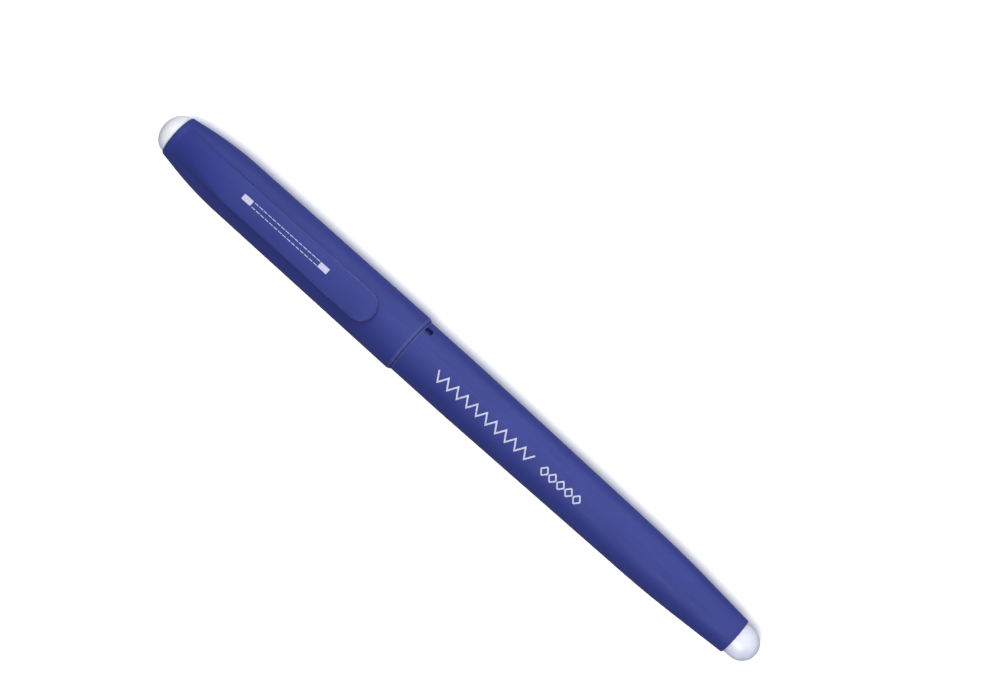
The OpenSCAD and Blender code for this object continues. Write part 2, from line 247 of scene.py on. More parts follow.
def add_turned(bm, points, turns=TURNS):
    """Adds the solid that a closed outline of (station, radius, wear) points makes about the axis."""
    wear_and_highlight = bm.verts.layers.float.get("wear_and_highlight") or bm.verts.layers.float.new("wear_and_highlight")
    rings = []
    for station, radius, wear_and_highlight_amount in points:
        count = turns if radius > 1e-6 else 1
        ring = []
        for k in range(count):
            angle = 2 * math.pi * k / turns
            vert = bm.verts.new(place(station, radius * math.sin(angle), radius * math.cos(angle)))
            vert[wear_and_highlight] = wear_and_highlight_amount
            ring.append(vert)
        rings.append(ring)
    for a, b in zip(rings, rings[1:] + rings[:1]):
        if len(a) == 1 and len(b) == 1:
            continue
        for k in range(turns):
            around = [a[k % len(a)], a[(k + 1) % len(a)], b[(k + 1) % len(b)], b[k % len(b)]]
            bm.faces.new(list(dict.fromkeys(around)))


def turned(name, outline, turns=TURNS):
    """A round piece from its closed half outline of (station, radius, rounding) corners."""
    bm = bmesh.new()
    add_turned(bm, corners(outline), turns)
    return finish_mesh(name, bm)


def block(name, low, high, rounding, turn=0):
    """A box with rounded edges between two (station, y, height) corners.

    It is turned about the pen's axis by that many degrees.
    """
    bm = bmesh.new()
    bmesh.ops.create_cube(bm, size=1)
    low, high = Vector(low), Vector(high)
    for vert in bm.verts:
        vert.co = low + (high - low) * (vert.co + Vector((0.5, 0.5, 0.5)))
    bmesh.ops.bevel(
        bm, geom=bm.edges, offset=rounding, segments=3, profile=0.5, affect="EDGES"
    )
    rotation = Matrix.Rotation(math.radians(turn), 3, "X")
    for vert in bm.verts:
        vert.co = place(*(rotation @ vert.co))
    return finish_mesh(name, bm)


def merge(piece, other, operation):
    """Cuts other out of piece, or joins it to piece, for good."""
    modifier = piece.modifiers.new(operation, "BOOLEAN")
    modifier.operation = operation
    modifier.object = other
    modifier.solver = "EXACT"
    graph = bpy.context.evaluated_depsgraph_get()
    made = bpy.data.meshes.new_from_object(piece.evaluated_get(graph))
    piece.modifiers.clear()
    piece.data = made
    made.set_sharp_from_angle(angle=SHARP)
    bpy.data.objects.remove(other)


def dome_points(seat, seat_r, shoulder, shoulder_r, top, count=22):
    """The round end of a dome from its seat to its top, as outline corners with no rounding."""
    arc = [
        (shoulder + (top - shoulder) * math.sin(a), shoulder_r * math.cos(a), 0)
        for a in steps(0, math.pi / 2, count)
    ]
    return [(seat, seat_r, 0)] + arc[:-1] + [(top, 0, 0)]


# ---------------------------------------------------------------------------
# Materials
# ---------------------------------------------------------------------------
def new_material(name, colour, roughness, settings=None):
    material = bpy.data.materials.new(name)
    material.use_nodes = True
    shader = material.node_tree.nodes["Principled BSDF"]
    shader.inputs["Base Color"].default_value = (*colour, 1)
    shader.inputs["Roughness"].default_value = roughness
    for socket, value in (settings or {}).items():
        shader.inputs[socket].default_value = value
    return material


def link(material, source, node_name, socket):
    target = material.node_tree.nodes[node_name].inputs[socket]
    material.node_tree.links.new(source, target)


def noise(material, size, detail=3, stretch=1):
    """Noise with blobs of about that size in millimetres, stretched along the pen."""
    nodes = material.node_tree.nodes
    links = material.node_tree.links
    coordinates = nodes.new("ShaderNodeTexCoord")
    mapping = nodes.new("ShaderNodeMapping")
    mapping.inputs["Scale"].default_value = (1 / stretch, 1, 1)
    texture = nodes.new("ShaderNodeTexNoise")
    texture.inputs["Scale"].default_value = 1 / (size * MM)
    texture.inputs["Detail"].default_value = detail
    links.new(coordinates.outputs["Object"], mapping.inputs["Vector"])
    links.new(mapping.outputs["Vector"], texture.inputs["Vector"])
    return texture.outputs["Fac"]


def spread(material, source, low, high, start=0.3, stop=0.7):
    """source between start and stop, spread between low and high."""
    node = material.node_tree.nodes.new("ShaderNodeMapRange")
    node.inputs["From Min"].default_value = start
    node.inputs["From Max"].default_value = stop
    node.inputs["To Min"].default_value = low
    node.inputs["To Max"].default_value = high
    material.node_tree.links.new(source, node.inputs["Value"])
    return node.outputs["Result"]


def mixed(material, factor, first, second):
    """A colour between two, each a colour or another node's output."""
    node = material.node_tree.nodes.new("ShaderNodeMix")
    node.data_type = "RGBA"
    material.node_tree.links.new(factor, node.inputs["Factor"])
    for socket, value in (("A", first), ("B", second)):
        target = [s for s in node.inputs if s.name == socket and s.type == "RGBA"][0]
        if isinstance(value, tuple):
            target.default_value = (*value, 1)
        else:
            material.node_tree.links.new(value, target)
    return [s for s in node.outputs if s.type == "RGBA"][0]


def times(material, first, second):
    node = material.node_tree.nodes.new("ShaderNodeMath")
    node.operation = "MULTIPLY"
    material.node_tree.links.new(first, node.inputs[0])
    material.node_tree.links.new(second, node.inputs[1])
    return node.outputs["Value"]


def wear_and_highlight_mask(material):
    """How pale an edge is, from wear and, along the clip's edges near its tip, from a painted
    highlight, broken up by noise.
    """
    node = material.node_tree.nodes.new("ShaderNodeAttribute")
    node.attribute_name = "wear_and_highlight"
    broken = spread(material, noise(material, size=0.9), low=0.2, high=1)
    return times(material, node.outputs["Fac"], broken)


def add_bump(material, height, depth):
    """A relief of that many millimetres."""
    node = material.node_tree.nodes.new("ShaderNodeBump")
    node.inputs["Distance"].default_value = depth * MM
    node.inputs["Strength"].default_value = 1
    material.node_tree.links.new(height, node.inputs["Height"])
    link(material, node.outputs["Normal"], "Principled BSDF", "Normal")


def moulded(name, dark, light, roughness, grain=0.11, grain_depth=0.0022, settings=None):
    """Satin moulded plastic.

    It has two close tones in soft clouds, a fine grain, faint lengthwise rubbing and paler
    edges: worn edges on the turned parts, and a painted highlight along the clip's edges near
    its tip. grain is the size of the grain and grain_depth its relief, in millimetres.
    """
    material = new_material(name, light, roughness[0], settings)
    clouds = spread(material, noise(material, size=7, detail=2, stretch=2.5), 0, 1)
    speckle = spread(material, noise(material, size=0.35, detail=2), 0, 1)
    body = mixed(material, clouds, dark, light)
    fleck = tuple(1.06 * c for c in light)
    flecked = mixed(material, times(material, clouds, speckle), body, fleck)
    # This pale tone serves both worn edges and the painted highlight along the clip's edges near its
    # tip.
    wear_and_highlight_tone = tuple(0.7 * c + 0.1 for c in light)
    uneven = spread(material, noise(material, size=3), low=0.25, high=0.8)
    wear_and_highlight_amount = times(material, wear_and_highlight_mask(material), uneven)
    colour = mixed(material, wear_and_highlight_amount, flecked, wear_and_highlight_tone)
    link(material, colour, "Principled BSDF", "Base Color")
    rubbed = spread(material, noise(material, size=0.5, detail=4, stretch=14), *roughness)
    link(material, rubbed, "Principled BSDF", "Roughness")
    add_bump(material, noise(material, grain), grain_depth)
    return material


def elastomer(name, colour, shade, roughness, settings, skin_depth=0.004):
    """Milky rubber or clear plastic that lets light into it, with faint clouds and an uneven skin."""
    material = new_material(name, colour, roughness[0], settings)
    clouds = spread(material, noise(material, size=2.6, detail=2), 0, 1)
    link(material, mixed(material, clouds, shade, colour), "Principled BSDF", "Base Color")
    skin = spread(material, noise(material, size=0.8), *roughness)
    link(material, skin, "Principled BSDF", "Roughness")
    add_bump(material, noise(material, size=0.16), skin_depth)
    return material


def metal(name, colour, roughness, turned_marks):
    """Turned or ground metal, with marks round the axis."""
    material = new_material(name, colour, roughness[0], {"Metallic": 1.0})
    marks = noise(material, turned_marks, stretch=0.06)
    link(material, spread(material, marks, *roughness), "Principled BSDF", "Roughness")
    tone = spread(material, noise(material, size=0.8, detail=2), 0, 1)
    darker = tuple(0.82 * c for c in colour)
    link(material, mixed(material, tone, darker, colour), "Principled BSDF", "Base Color")
    add_bump(material, marks, depth=0.0015)
    return material


def printed(name, ink, under):
    """Screen-printed ink, thin enough in places for the plastic to show through."""
    material = new_material(name, ink, 0.5)
    thin = spread(material, noise(material, size=0.22), 0, 0.55, start=0.42, stop=0.72)
    patches = spread(material, noise(material, size=1.6, detail=2), 0.3, 1)
    colour = mixed(material, times(material, thin, patches), ink, under)
    link(material, colour, "Principled BSDF", "Base Color")
    roughness = spread(material, noise(material, size=0.3, detail=2), 0.42, 0.6)
    link(material, roughness, "Principled BSDF", "Roughness")
    add_bump(material, noise(material, size=0.12, detail=2), depth=0.003)
    return material


BLUE = (0.026, 0.040, 0.255)
BLUE_DARK = (0.022, 0.034, 0.232)
NAVY = (0.012, 0.017, 0.11)
NAVY_DARK = (0.009, 0.012, 0.085)

blue_plastic = moulded(
    "blue_plastic", BLUE_DARK, BLUE, (0.5, 0.62), settings={"Specular IOR Level": 0.38}
)
# The section's navy, darker than the barrel's blue, is painted shade: it darkens the key that sits
# recessed in the barrel's window.
dark_blue_plastic = moulded("dark_blue_plastic", NAVY_DARK, NAVY, (0.34, 0.46))
grip_rubber = moulded(
    "grip_rubber", NAVY_DARK, NAVY, (0.62, 0.78), grain=0.09, grain_depth=0.006,
    settings={"Sheen Weight": 0.25, "Sheen Roughness": 0.5},
)
natural_plastic = elastomer(
    "natural_plastic", (0.80, 0.82, 0.86), (0.74, 0.76, 0.82), (0.34, 0.5),
    {"Subsurface Weight": 0.5, "Subsurface Radius": (1.2, 1.2, 1.4), "Subsurface Scale": MM},
)
dome_rubber = elastomer(
    "dome_rubber", (0.89, 0.91, 1.0), (0.83, 0.85, 0.96), (0.4, 0.55),
    {
        "Subsurface Weight": 0.75,
        "Subsurface Radius": (2.2, 2.3, 2.8),
        "Subsurface Scale": MM,
        "Transmission Weight": 0.25,
        "IOR": 1.45,
    },
)
clear_rubber = elastomer(
    "clear_rubber", (0.73, 0.75, 0.87), (0.66, 0.68, 0.82), (0.28, 0.38),
    {
        "Subsurface Weight": 0.7,
        "Subsurface Radius": (2.8, 3.0, 3.8),
        "Subsurface Scale": MM,
        "Transmission Weight": 0.3,
        "IOR": 1.5,
        "Coat Weight": 0.3,
        "Coat Roughness": 0.15,
    },
    skin_depth=0.0015,
)
refill_wall = elastomer(
    "refill_wall", (0.93, 0.94, 0.96), (0.90, 0.91, 0.94), (0.05, 0.12),
    {"Transmission Weight": 0.96, "IOR": 1.47},
    skin_depth=0.0015,
)
clear_grease = elastomer(
    "clear_grease", (0.86, 0.84, 0.74), (0.80, 0.78, 0.68), (0.12, 0.25),
    {"Transmission Weight": 0.8, "IOR": 1.42},
)
ink_gel = moulded(
    "ink_gel", (0.006, 0.014, 0.20), (0.012, 0.03, 0.34), (0.08, 0.2),
    grain=0.8, grain_depth=0.01,
    settings={"Coat Weight": 0.6, "Coat Roughness": 0.05},
)
tip_steel = metal("tip_steel", (0.62, 0.61, 0.60), (0.16, 0.34), turned_marks=0.5)
spring_steel = metal("spring_steel", (0.55, 0.55, 0.56), (0.2, 0.34), turned_marks=0.2)
ball_steel = metal("ball_steel", (0.58, 0.58, 0.60), (0.05, 0.12), turned_marks=0.2)
print_ink = printed("print_ink", (0.66, 0.68, 0.86), BLUE)


def dress(piece, material, slot, body, *nodes):
    """Gives a piece its material, and lets it ride for the CAD nodes that it stands for. slot is not
    used.
    """
    piece.data.materials.clear()
    piece.data.materials.append(material)
    if body:
        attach(piece, body)
    if nodes:
        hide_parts(*nodes)
    return piece


# ---------------------------------------------------------------------------
# Cap
# ---------------------------------------------------------------------------
def cap_outline():
    """The cap's lip and side, then back through its bore, with the groove that the section snaps in."""
    lip_r = CAP_MOUTH_R - LIP_DEPTH
    lip_back = CAP_MOUTH + LIP_LENGTH
    lip = [(CAP_MOUTH, lip_r, 0.03)]
    lip += [(CAP_MOUTH + LIP_LENGTH * t, lip_r + LIP_DEPTH * t, 0) for t in steps(0.2, 0.8, 4)]
    lip += [(lip_back, CAP_MOUTH_R, 0.2)]
    side = [(s, cap_radius(s), 0) for s in steps(lip_back + 0.6, CAP_END - 1.2, 60)]
    return (
        [(CAP_MOUTH, CAP_BORE_R + 0.3, 0.06)]
        + lip
        + side
        + [
            (CAP_END, cap_radius(CAP_END), RIM_ROUNDING),
            (CAP_END, CAP_DOME_SEAT_R, 0.08),
            (CAP_DOME_SEAT, CAP_DOME_SEAT_R, 0),
            (CAP_DOME_SEAT, CAP_STEM_R, 0.1),
            (CAP_WEB_END, CAP_STEM_R, 0),
            (CAP_WEB_END, VENT_R, 0.1),
            (LINER_SEAT[1], VENT_R, 0.1),
            (LINER_SEAT[1], LINER_SEAT_R, 0),
            (LINER_SEAT[0] + 0.4, LINER_SEAT_R, 0.1),
            (LINER_SEAT[0], CAP_BORE_R, 0.1),
            (SNAP_GROOVE[1], CAP_BORE_R, 0.1),
            (SNAP_GROOVE[1] - 0.3, CAP_BORE_R + SNAP_GROOVE_DEPTH, 0.1),
            (SNAP_GROOVE[0] + 0.3, CAP_BORE_R + SNAP_GROOVE_DEPTH, 0.1),
            (SNAP_GROOVE[0], CAP_BORE_R, 0.1),
            (CAP_MOUTH + 0.3, CAP_BORE_R, 0.1),
        ]
    )


def mark_wear(piece, station_from, station_to, least_radius):
    """Marks the outer points between two stations as an edge that handling wears."""
    attribute = piece.data.attributes["wear_and_highlight"]
    for vert in piece.data.vertices:
        station = (vert.co.x - SEAM_X) / MM
        radius = math.hypot(vert.co.y, vert.co.z - AXIS_Z) / MM
        if station_from < station < station_to and radius > least_radius:
            attribute.data[vert.index].value = 1


cap_body = turned("cap_body", cap_outline())
mark_wear(cap_body, CAP_MOUTH + 0.1, CAP_MOUTH + LIP_LENGTH - 0.1, CAP_MOUTH_R - LIP_DEPTH)
dress(cap_body, blue_plastic, "blue_plastic", "cap", "cap_shell")

# ---------------------------------------------------------------------------
# Clip, with the root that it grows out of the cap by, as one moulding. It is
# a row of ribs: half cross-sections that run from the top's middle over the
# edge to the bottom's middle.
# ---------------------------------------------------------------------------
TOP_ROWS = 12
EDGE_ROWS = 7
UNDER_EDGE = 0.22
TIP_DROP = 0.3
TIP_DROP_RUN = 3
BEAD_STATION = CLIP_TIP + 2.4
BEAD_HALF_LENGTH = 1.15
BEAD_HALF_WIDTH = 2.1
BEAD_GAP = 0.06
# Where the painted highlight along the clip's edges fades in towards its tip.
TIP_HIGHLIGHT_START = 26
TIP_HIGHLIGHT_RUN = 8
ROOT_END = CAP_END - 1
ROOT_CROWN_SINK = 0.08
ROOT_SKIN = 0.05
ROOT_SINK_START = 0.06
ROOT_INNER_DEPTH = 0.45
ROOT_FLARE = 0.04
ROOT_EDGE = 1.7
ROOT_SOFT_RUN = 13


def root_share(station):
    """0 where the arm leaves the root and 1 at the root's end near the cap's rim."""
    return (station - CLIP_ROOT) / (ROOT_END - CLIP_ROOT)


def clip_top(station):
    """Height of the clip's top along its middle, from its tip to the end of its root."""
    share = root_share(station)
    if share <= 0:
        back = (CLIP_ROOT - station) / (CLIP_ROOT - CLIP_TIP)
        near_tip = max(0.0, 1 - (station - CLIP_TIP) / TIP_DROP_RUN)
        return CLIP_TOP - CLIP_DROP * back**1.6 - TIP_DROP * near_tip**2.2
    rise = CLIP_TOP - cap_radius(CLIP_ROOT)
    return cap_radius(station) + rise * (1 - share**2) ** 1.2 - ROOT_CROWN_SINK * share**2


def crown_drop(y, radius):
    """How far a crowned top of that radius has fallen away at y."""
    return radius - math.sqrt(radius * radius - y * y)


def bead_depth(station, y):
    """How far the bead that presses on the cap stands below the arm."""
    depth = clip_top(BEAD_STATION) - CLIP_THICKNESS - cap_radius(BEAD_STATION) - BEAD_GAP
    along = min(1.0, abs(station - BEAD_STATION) / BEAD_HALF_LENGTH)
    across = min(1.0, abs(y) / BEAD_HALF_WIDTH)
    return depth * (1 - along**2) ** 1.3 * (1 - across**4)


def arm_rib(centre, turn):
    """The clip's arm, cut from a point on its middle line out to its edge and back underneath.

    The cut runs towards +Y where turn is 0 and towards -Y where it is pi.
    """
    inner = CLIP_HALF - CLIP_EDGE
    lower = CLIP_HALF - UNDER_EDGE
    quarter = steps(0, math.pi / 2, EDGE_ROWS)
    upper = [(inner * k / TOP_ROWS, 0) for k in range(TOP_ROWS)]
    edge = [(inner + CLIP_EDGE * math.sin(a), CLIP_EDGE * (1 - math.cos(a))) for a in quarter]
    under_edge = [
        (lower + UNDER_EDGE * math.cos(a), CLIP_THICKNESS - UNDER_EDGE * (1 - math.sin(a)))
        for a in quarter
    ]
    under = [(lower * (1 - k / TOP_ROWS), CLIP_THICKNESS) for k in range(1, TOP_ROWS + 1)]
    rib = []
    for i, (reach, drop) in enumerate(upper + edge + under_edge + under):
        station = centre - reach * math.sin(turn)
        y = reach * math.cos(turn)
        height = clip_top(station) - crown_drop(y, CLIP_CROWN_R) - drop
        if i >= len(upper + edge + under_edge):
            height -= bead_depth(station, y)
        on_edge = TOP_ROWS + 1 < i < TOP_ROWS + EDGE_ROWS
        # Near the tip the clip's edges get a painted highlight, carried by the same pale edge attribute
        # as wear.
        wear_and_highlight_amount = smooth((TIP_HIGHLIGHT_START - station) / TIP_HIGHLIGHT_RUN) if on_edge else 0.0
        rib.append((place(station, y, height), wear_and_highlight_amount))
    return rib


def root_rib(station, side):
    """The clip's root, which flares into the cap and sinks into it towards the cap's end."""
    share = root_share(station)
    cap_r = cap_radius(station)
    crown = 1 / blend_values(1 / CLIP_CROWN_R, 1 / cap_r, smooth(share * 1.15))
    top = clip_top(station)
    wall_foot = math.sqrt(cap_r**2 - CLIP_HALF**2)
    free = top - crown_drop(CLIP_HALF, crown) - wall_foot
    softened = smooth((station - CLIP_ROOT) / ROOT_SOFT_RUN)
    edge_width = blend_values(CLIP_EDGE, ROOT_EDGE, softened)
    edge_depth = min(blend_values(CLIP_EDGE, ROOT_EDGE, softened), max(0.02, 0.85 * free))
    sunk = ROOT_SKIN + max(0.0, ROOT_SINK_START - free)
    inner = CLIP_HALF - edge_width
    quarter = steps(0, math.pi / 2, EDGE_ROWS)
    points = [(inner * k / TOP_ROWS, 0) for k in range(TOP_ROWS)]
    points += [
        (inner + edge_width * math.sin(a), edge_depth * (1 - math.cos(a))) for a in quarter
    ]
    points = [(y, top - crown_drop(y, crown) - drop) for y, drop in points]
    foot_angle = math.asin(CLIP_HALF / cap_r)
    last_angle = foot_angle + ROOT_FLARE / cap_r
    start = Vector((CLIP_HALF, cap_r * math.cos(foot_angle) + ROOT_FLARE))
    middle = Vector((CLIP_HALF, cap_r * math.cos(foot_angle)))
    stop = Vector((cap_r * math.sin(last_angle), cap_r * math.cos(last_angle)))
    for t in steps(0, 1, EDGE_ROWS):
        point = start * (1 - t) ** 2 + middle * 2 * t * (1 - t) + stop * t * t
        point *= 1 - (sunk if free < ROOT_SINK_START else sunk * t * t) / cap_r
        points.append((point.x, point.y))
    inside = cap_r - ROOT_INNER_DEPTH
    for angle in steps(last_angle, 0, TOP_ROWS)[1:]:
        points.append((inside * math.sin(angle), inside * math.cos(angle)))
    return [(place(station, side * y, height), 0.0) for y, height in points]


def make_clip():
    """The ribs from the root's end along one side, round the tip and back along the other."""
    tip_centre = CLIP_TIP + CLIP_HALF
    root_stations = steps(ROOT_END, CLIP_ROOT, 56)
    arm_stations = steps(CLIP_ROOT - 0.04, tip_centre, 60)
    ribs = [root_rib(s, 1) for s in root_stations]
    ribs += [arm_rib(s, 0) for s in arm_stations]
    ribs += [arm_rib(tip_centre, a) for a in steps(0, math.pi, 44)[1:-1]]
    ribs += [arm_rib(s, math.pi) for s in reversed(arm_stations)]
    ribs += [root_rib(s, -1) for s in reversed(root_stations)]
    bm = bmesh.new()
    wear_and_highlight = bm.verts.layers.float.new("wear_and_highlight")
    rows = []
    for rib in ribs:
        row = []
        for point, wear_and_highlight_amount in rib:
            vert = bm.verts.new(point)
            vert[wear_and_highlight] = wear_and_highlight_amount
            row.append(vert)
        rows.append(row)
    for a, b in zip(rows, rows[1:]):
        for k in range(len(a) - 1):
            bm.faces.new((a[k], a[k + 1], b[k + 1], b[k]))
    bm.faces.new(rows[0] + rows[-1][::-1])
    weld = 2e-7
    bmesh.ops.remove_doubles(bm, verts=bm.verts, dist=weld)
    bmesh.ops.dissolve_degenerate(bm, edges=bm.edges, dist=weld / 2)
    return finish_mesh("clip_arm", bm)


clip_arm = make_clip()
dress(clip_arm, blue_plastic, "blue_plastic", None, "pocket_clip")
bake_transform(clip_arm)

# ---------------------------------------------------------------------------
# Prints: flat strokes laid on a surface, a stitch pattern on each part.
# ---------------------------------------------------------------------------
PRINT_HEIGHT = 0.012
STROKE_STEP = 0.35


def add_stroke(bm, line, width, on_surface):
    """A flat stroke of that width along a line of (u, v) points in millimetres."""
    fine = []
    for a, b in zip(line, line[1:]):
        pieces = max(1, math.ceil((Vector(b) - Vector(a)).length / STROKE_STEP))
        fine += [Vector(a).lerp(Vector(b), k / pieces) for k in range(pieces)]
    fine.append(Vector(line[-1]))
    rows = []
    for i, point in enumerate(fine):
        ahead = (fine[min(i + 1, len(fine) - 1)] - point).normalized()
        behind = (point - fine[max(i - 1, 0)]).normalized()
        heading = (ahead + behind).normalized()
        side = Vector((-heading.y, heading.x))
        reach = width / 2 / max(0.5, heading.dot(ahead if ahead.length else behind))
        spots = [point + side * reach, point, point - side * reach]
        row = [bm.verts.new(on_surface(spot.x, spot.y, PRINT_HEIGHT)) for spot in spots]
        row += [bm.verts.new(on_surface(spot.x, spot.y, -PRINT_HEIGHT)) for spot in spots[::-1]]
        rows.append(row)
    around = len(rows[0])
    for a, b in zip(rows, rows[1:]):
        for k in range(around):
            bm.faces.new((a[k], a[(k + 1) % around], b[(k + 1) % around], b[k]))
    bm.faces.new(rows[0])
    bm.faces.new(rows[-1][::-1])


def make_print(name, strokes, on_surface):
    bm = bmesh.new()
    for line, width in strokes:
        add_stroke(bm, line, width, on_surface)
    return finish_mesh(name, bm)


def on_clip(station, y, height):
    return place(station, y, clip_top(station) - crown_drop(y, CLIP_CROWN_R) + height)


def on_barrel(station, arc, height):
    """A point on the barrel, arc millimetres round from its top towards +Y."""
    radius = barrel_radius(station)
    angle = arc / BARREL_R
    lifted = radius + height
    return place(station, lifted * math.sin(angle), lifted * math.cos(angle))


def buttonhole(start, stop, middle, width):
    """A worked buttonhole: two rows of fine stitches between two bar tacks."""
    tack = 2.1
    row_gap = 0.47
    stitch = 0.85
    stitch_width = 0.13
    gap = 0.22
    strokes = []
    for end, way in ((start, 1), (stop, -1)):
        strokes.append(([(end, middle), (end + way * tack, middle)], width))
    for side in (-1, 1):
        s = start + tack + gap
        while s + stitch < stop - tack:
            v = middle + side * row_gap
            strokes.append(([(s, v), (s + stitch, v)], stitch_width))
            s += stitch + gap
    return strokes


def zigzag(start, stop, middle, height, pitch, width):
    """One stroke that goes from side to side, as a zigzag stitch does."""
    count = round(abs(stop - start) / pitch)
    line = [
        (s, middle + (height / 2 if i % 2 else -height / 2))
        for i, s in enumerate(steps(start, stop, count))
    ]
    return [(line, width)]


def diamonds(start, stop, middle, height, count, width):
    """A row of diamonds, four strokes each."""
    strokes = []
    pitch = (stop - start) / count
    for i in range(count):
        s = start + pitch * (i + 0.5)
        half = pitch * 0.42
        ring = [
            (s - half, middle),
            (s, middle + height / 2),
            (s + half, middle),
            (s, middle - height / 2),
        ]
        strokes += [([a, b], width) for a, b in zip(ring, ring[1:] + ring[:1])]
    return strokes


clip_strokes = buttonhole(start=19.3, stop=39.9, middle=-0.4, width=1.12)
clip_print = make_print("clip_print", clip_strokes, on_clip)
dress(clip_print, print_ink, None, None)
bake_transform(clip_print)

barrel_strokes = zigzag(start=-7.3, stop=-30.5, middle=0.4, height=1.9, pitch=1.15, width=0.3)
barrel_strokes += diamonds(start=-32.6, stop=-42.2, middle=0.4, height=2.0, count=5, width=0.28)
barrel_print = make_print("barrel_print", barrel_strokes, on_barrel)
dress(barrel_print, print_ink, None, "barrel")

# ---------------------------------------------------------------------------
# The cap's liner and seal, and the domes of the cap and the barrel
# ---------------------------------------------------------------------------
def make_liner():
    """The liner, whose mouth narrows with the nose and whose floor holds the seal."""
    mouth = first_station("inner_cap")
    back = last_station("inner_cap")
    outer = radius_of("inner_cap")
    recess_r = 3.6
    recess_floor = 42.6
    seal_seat = 41.2
    seal_seat_r = 1.62
    outline = [
        (mouth, 3.98, 0.12),
        (mouth, outer, 0.25),
        (back, outer, 0.2),
        (back, recess_r, 0.1),
        (recess_floor + 0.4, recess_r, 0.2),
        (recess_floor, recess_r - 0.4, 0.2),
        (recess_floor, 0, 0),
        (seal_seat, 0, 0),
        (seal_seat, seal_seat_r, 0.1),
        (35, seal_seat_r, 0.3),
        (33.8, 2.18, 0.5),
        (32, 2.78, 0.5),
        (30, 3.43, 0.5),
    ]
    return turned("cap_liner", outline)


def make_seal():
    """The soft pellet that the ball rests against, dimpled behind."""
    front = first_station("tip_seal")
    back = 41.1
    outer = 1.6
    dimple_r = 0.6
    outline = [
        (front, 0, 0),
        (front, outer - 0.5, 0.3),
        (front + 0.5, outer, 0.3),
        (back, outer, 0.1),
        (back, dimple_r, 0.1),
        (back - 0.5, dimple_r, 0.1),
        (back - 0.9, 0, 0),
    ]
    return turned("cap_seal", outline, 96)


def make_cap_dome():
    back = first_station("cap_eraser")
    top = last_station("cap_eraser")
    stem = CAP_STEM_R - 0.02
    seat_r = radius_of("cap_eraser")
    shoulder = CAP_END + 0.25
    outline = [(back, 0, 0), (back, stem, 0.4), (CAP_DOME_SEAT, stem, 0)]
    outline += dome_points(CAP_DOME_SEAT, seat_r, shoulder, seat_r, top)
    return turned("cap_dome", outline)


def make_end_dome():
    back = last_station("end_eraser")
    top = first_station("end_eraser")
    stem = TAIL_BORE_R - 0.02
    seat_r = radius_of("end_eraser")
    shoulder = BARREL_END - 1.6
    outline = [(back, 0, 0), (back, stem, 0.4), (END_DOME_SEAT, stem, 0)]
    outline += dome_points(END_DOME_SEAT, seat_r, shoulder, seat_r - 0.04, top)
    return turned("end_dome", outline)


dress(make_liner(), natural_plastic, "natural_plastic", "cap", "inner_cap")
dress(make_seal(), dome_rubber, "translucent_elastomer", "cap", "tip_seal")
cap_dome = make_cap_dome()
dress(cap_dome, dome_rubber, "translucent_elastomer", "cap", "cap_eraser")
end_dome = make_end_dome()
dress(end_dome, clear_rubber, "translucent_elastomer", "barrel", "end_eraser")


# ---------------------------------------------------------------------------
# Barrel, with the keyway and window in its rim and the ribs that steady the refill
# ---------------------------------------------------------------------------
def barrel_outline():
    """The barrel's straight hold and long taper, then back through its stepped bore."""
    tail_step = -72.5
    side = [(s, barrel_radius(s), 0) for s in steps(-HOLD_LENGTH, BARREL_END + 1.2, 60)]
    return (
        [
            (0, BARREL_MOUTH_R + 0.3, 0.06),
            (0, BARREL_R - 0.06, 0.02),
            (-0.06, BARREL_R, 0.04),
            (-0.5, BARREL_R, 0),
        ]
        + side
        + [
            (BARREL_END, BARREL_END_R, RIM_ROUNDING),
            (BARREL_END, END_DOME_SEAT_R, 0.08),
            (END_DOME_SEAT, END_DOME_SEAT_R, 0),
            (END_DOME_SEAT, TAIL_BORE_R, 0.1),
            (tail_step, TAIL_BORE_R, 0.1),
            (tail_step, TAIL_CHAMBER_R, 0),
            (-68, TAIL_CHAMBER_R, 0.4),
            (-54, BARREL_BORE_R, 0.4),
            (BARREL_STEP - 0.5, BARREL_BORE_R, 0.2),
            (BARREL_STEP, BARREL_MOUTH_R, 0.2),
            (-0.3, BARREL_MOUTH_R, 0.1),
        ]
    )


def make_barrel():
    piece = turned("barrel_body", barrel_outline())
    mark_wear(piece, -0.3, 0.01, BARREL_R - 0.3)
    half = KEYWAY_WIDTH / 2
    low = (-KEYWAY_DEPTH, -half, KEYWAY_FLOOR_R)
    keyway = block("keyway", low, (1, half, KEYWAY_R), 0.1, KEY_ANGLE)
    merge(piece, keyway, "DIFFERENCE")
    window = block("window", low, (-WINDOW_START, half, WINDOW_TOP_R), 0.4, KEY_ANGLE)
    merge(piece, window, "DIFFERENCE")
    ribs = 4
    rib_low = (-56, -0.4, 3.15)
    rib_high = (-40, 0.4, 4.3)
    for i in range(ribs):
        rib = block("rib", rib_low, rib_high, 0.1, 45 + 360 / ribs * i)
        merge(piece, rib, "UNION")
    return piece


dress(make_barrel(), blue_plastic, "blue_plastic", "barrel", "barrel")


# ---------------------------------------------------------------------------
# Front section, grip and nose
# ---------------------------------------------------------------------------
SECTION_BACK = first_station("section_body")
GRIP_BACK = first_station("grip_sleeve")
GRIP_FRONT = last_station("grip_sleeve")
GRIP_BORE_R = 3.72
REFILL_STOP = 16.5
NOSE_BASE = 25


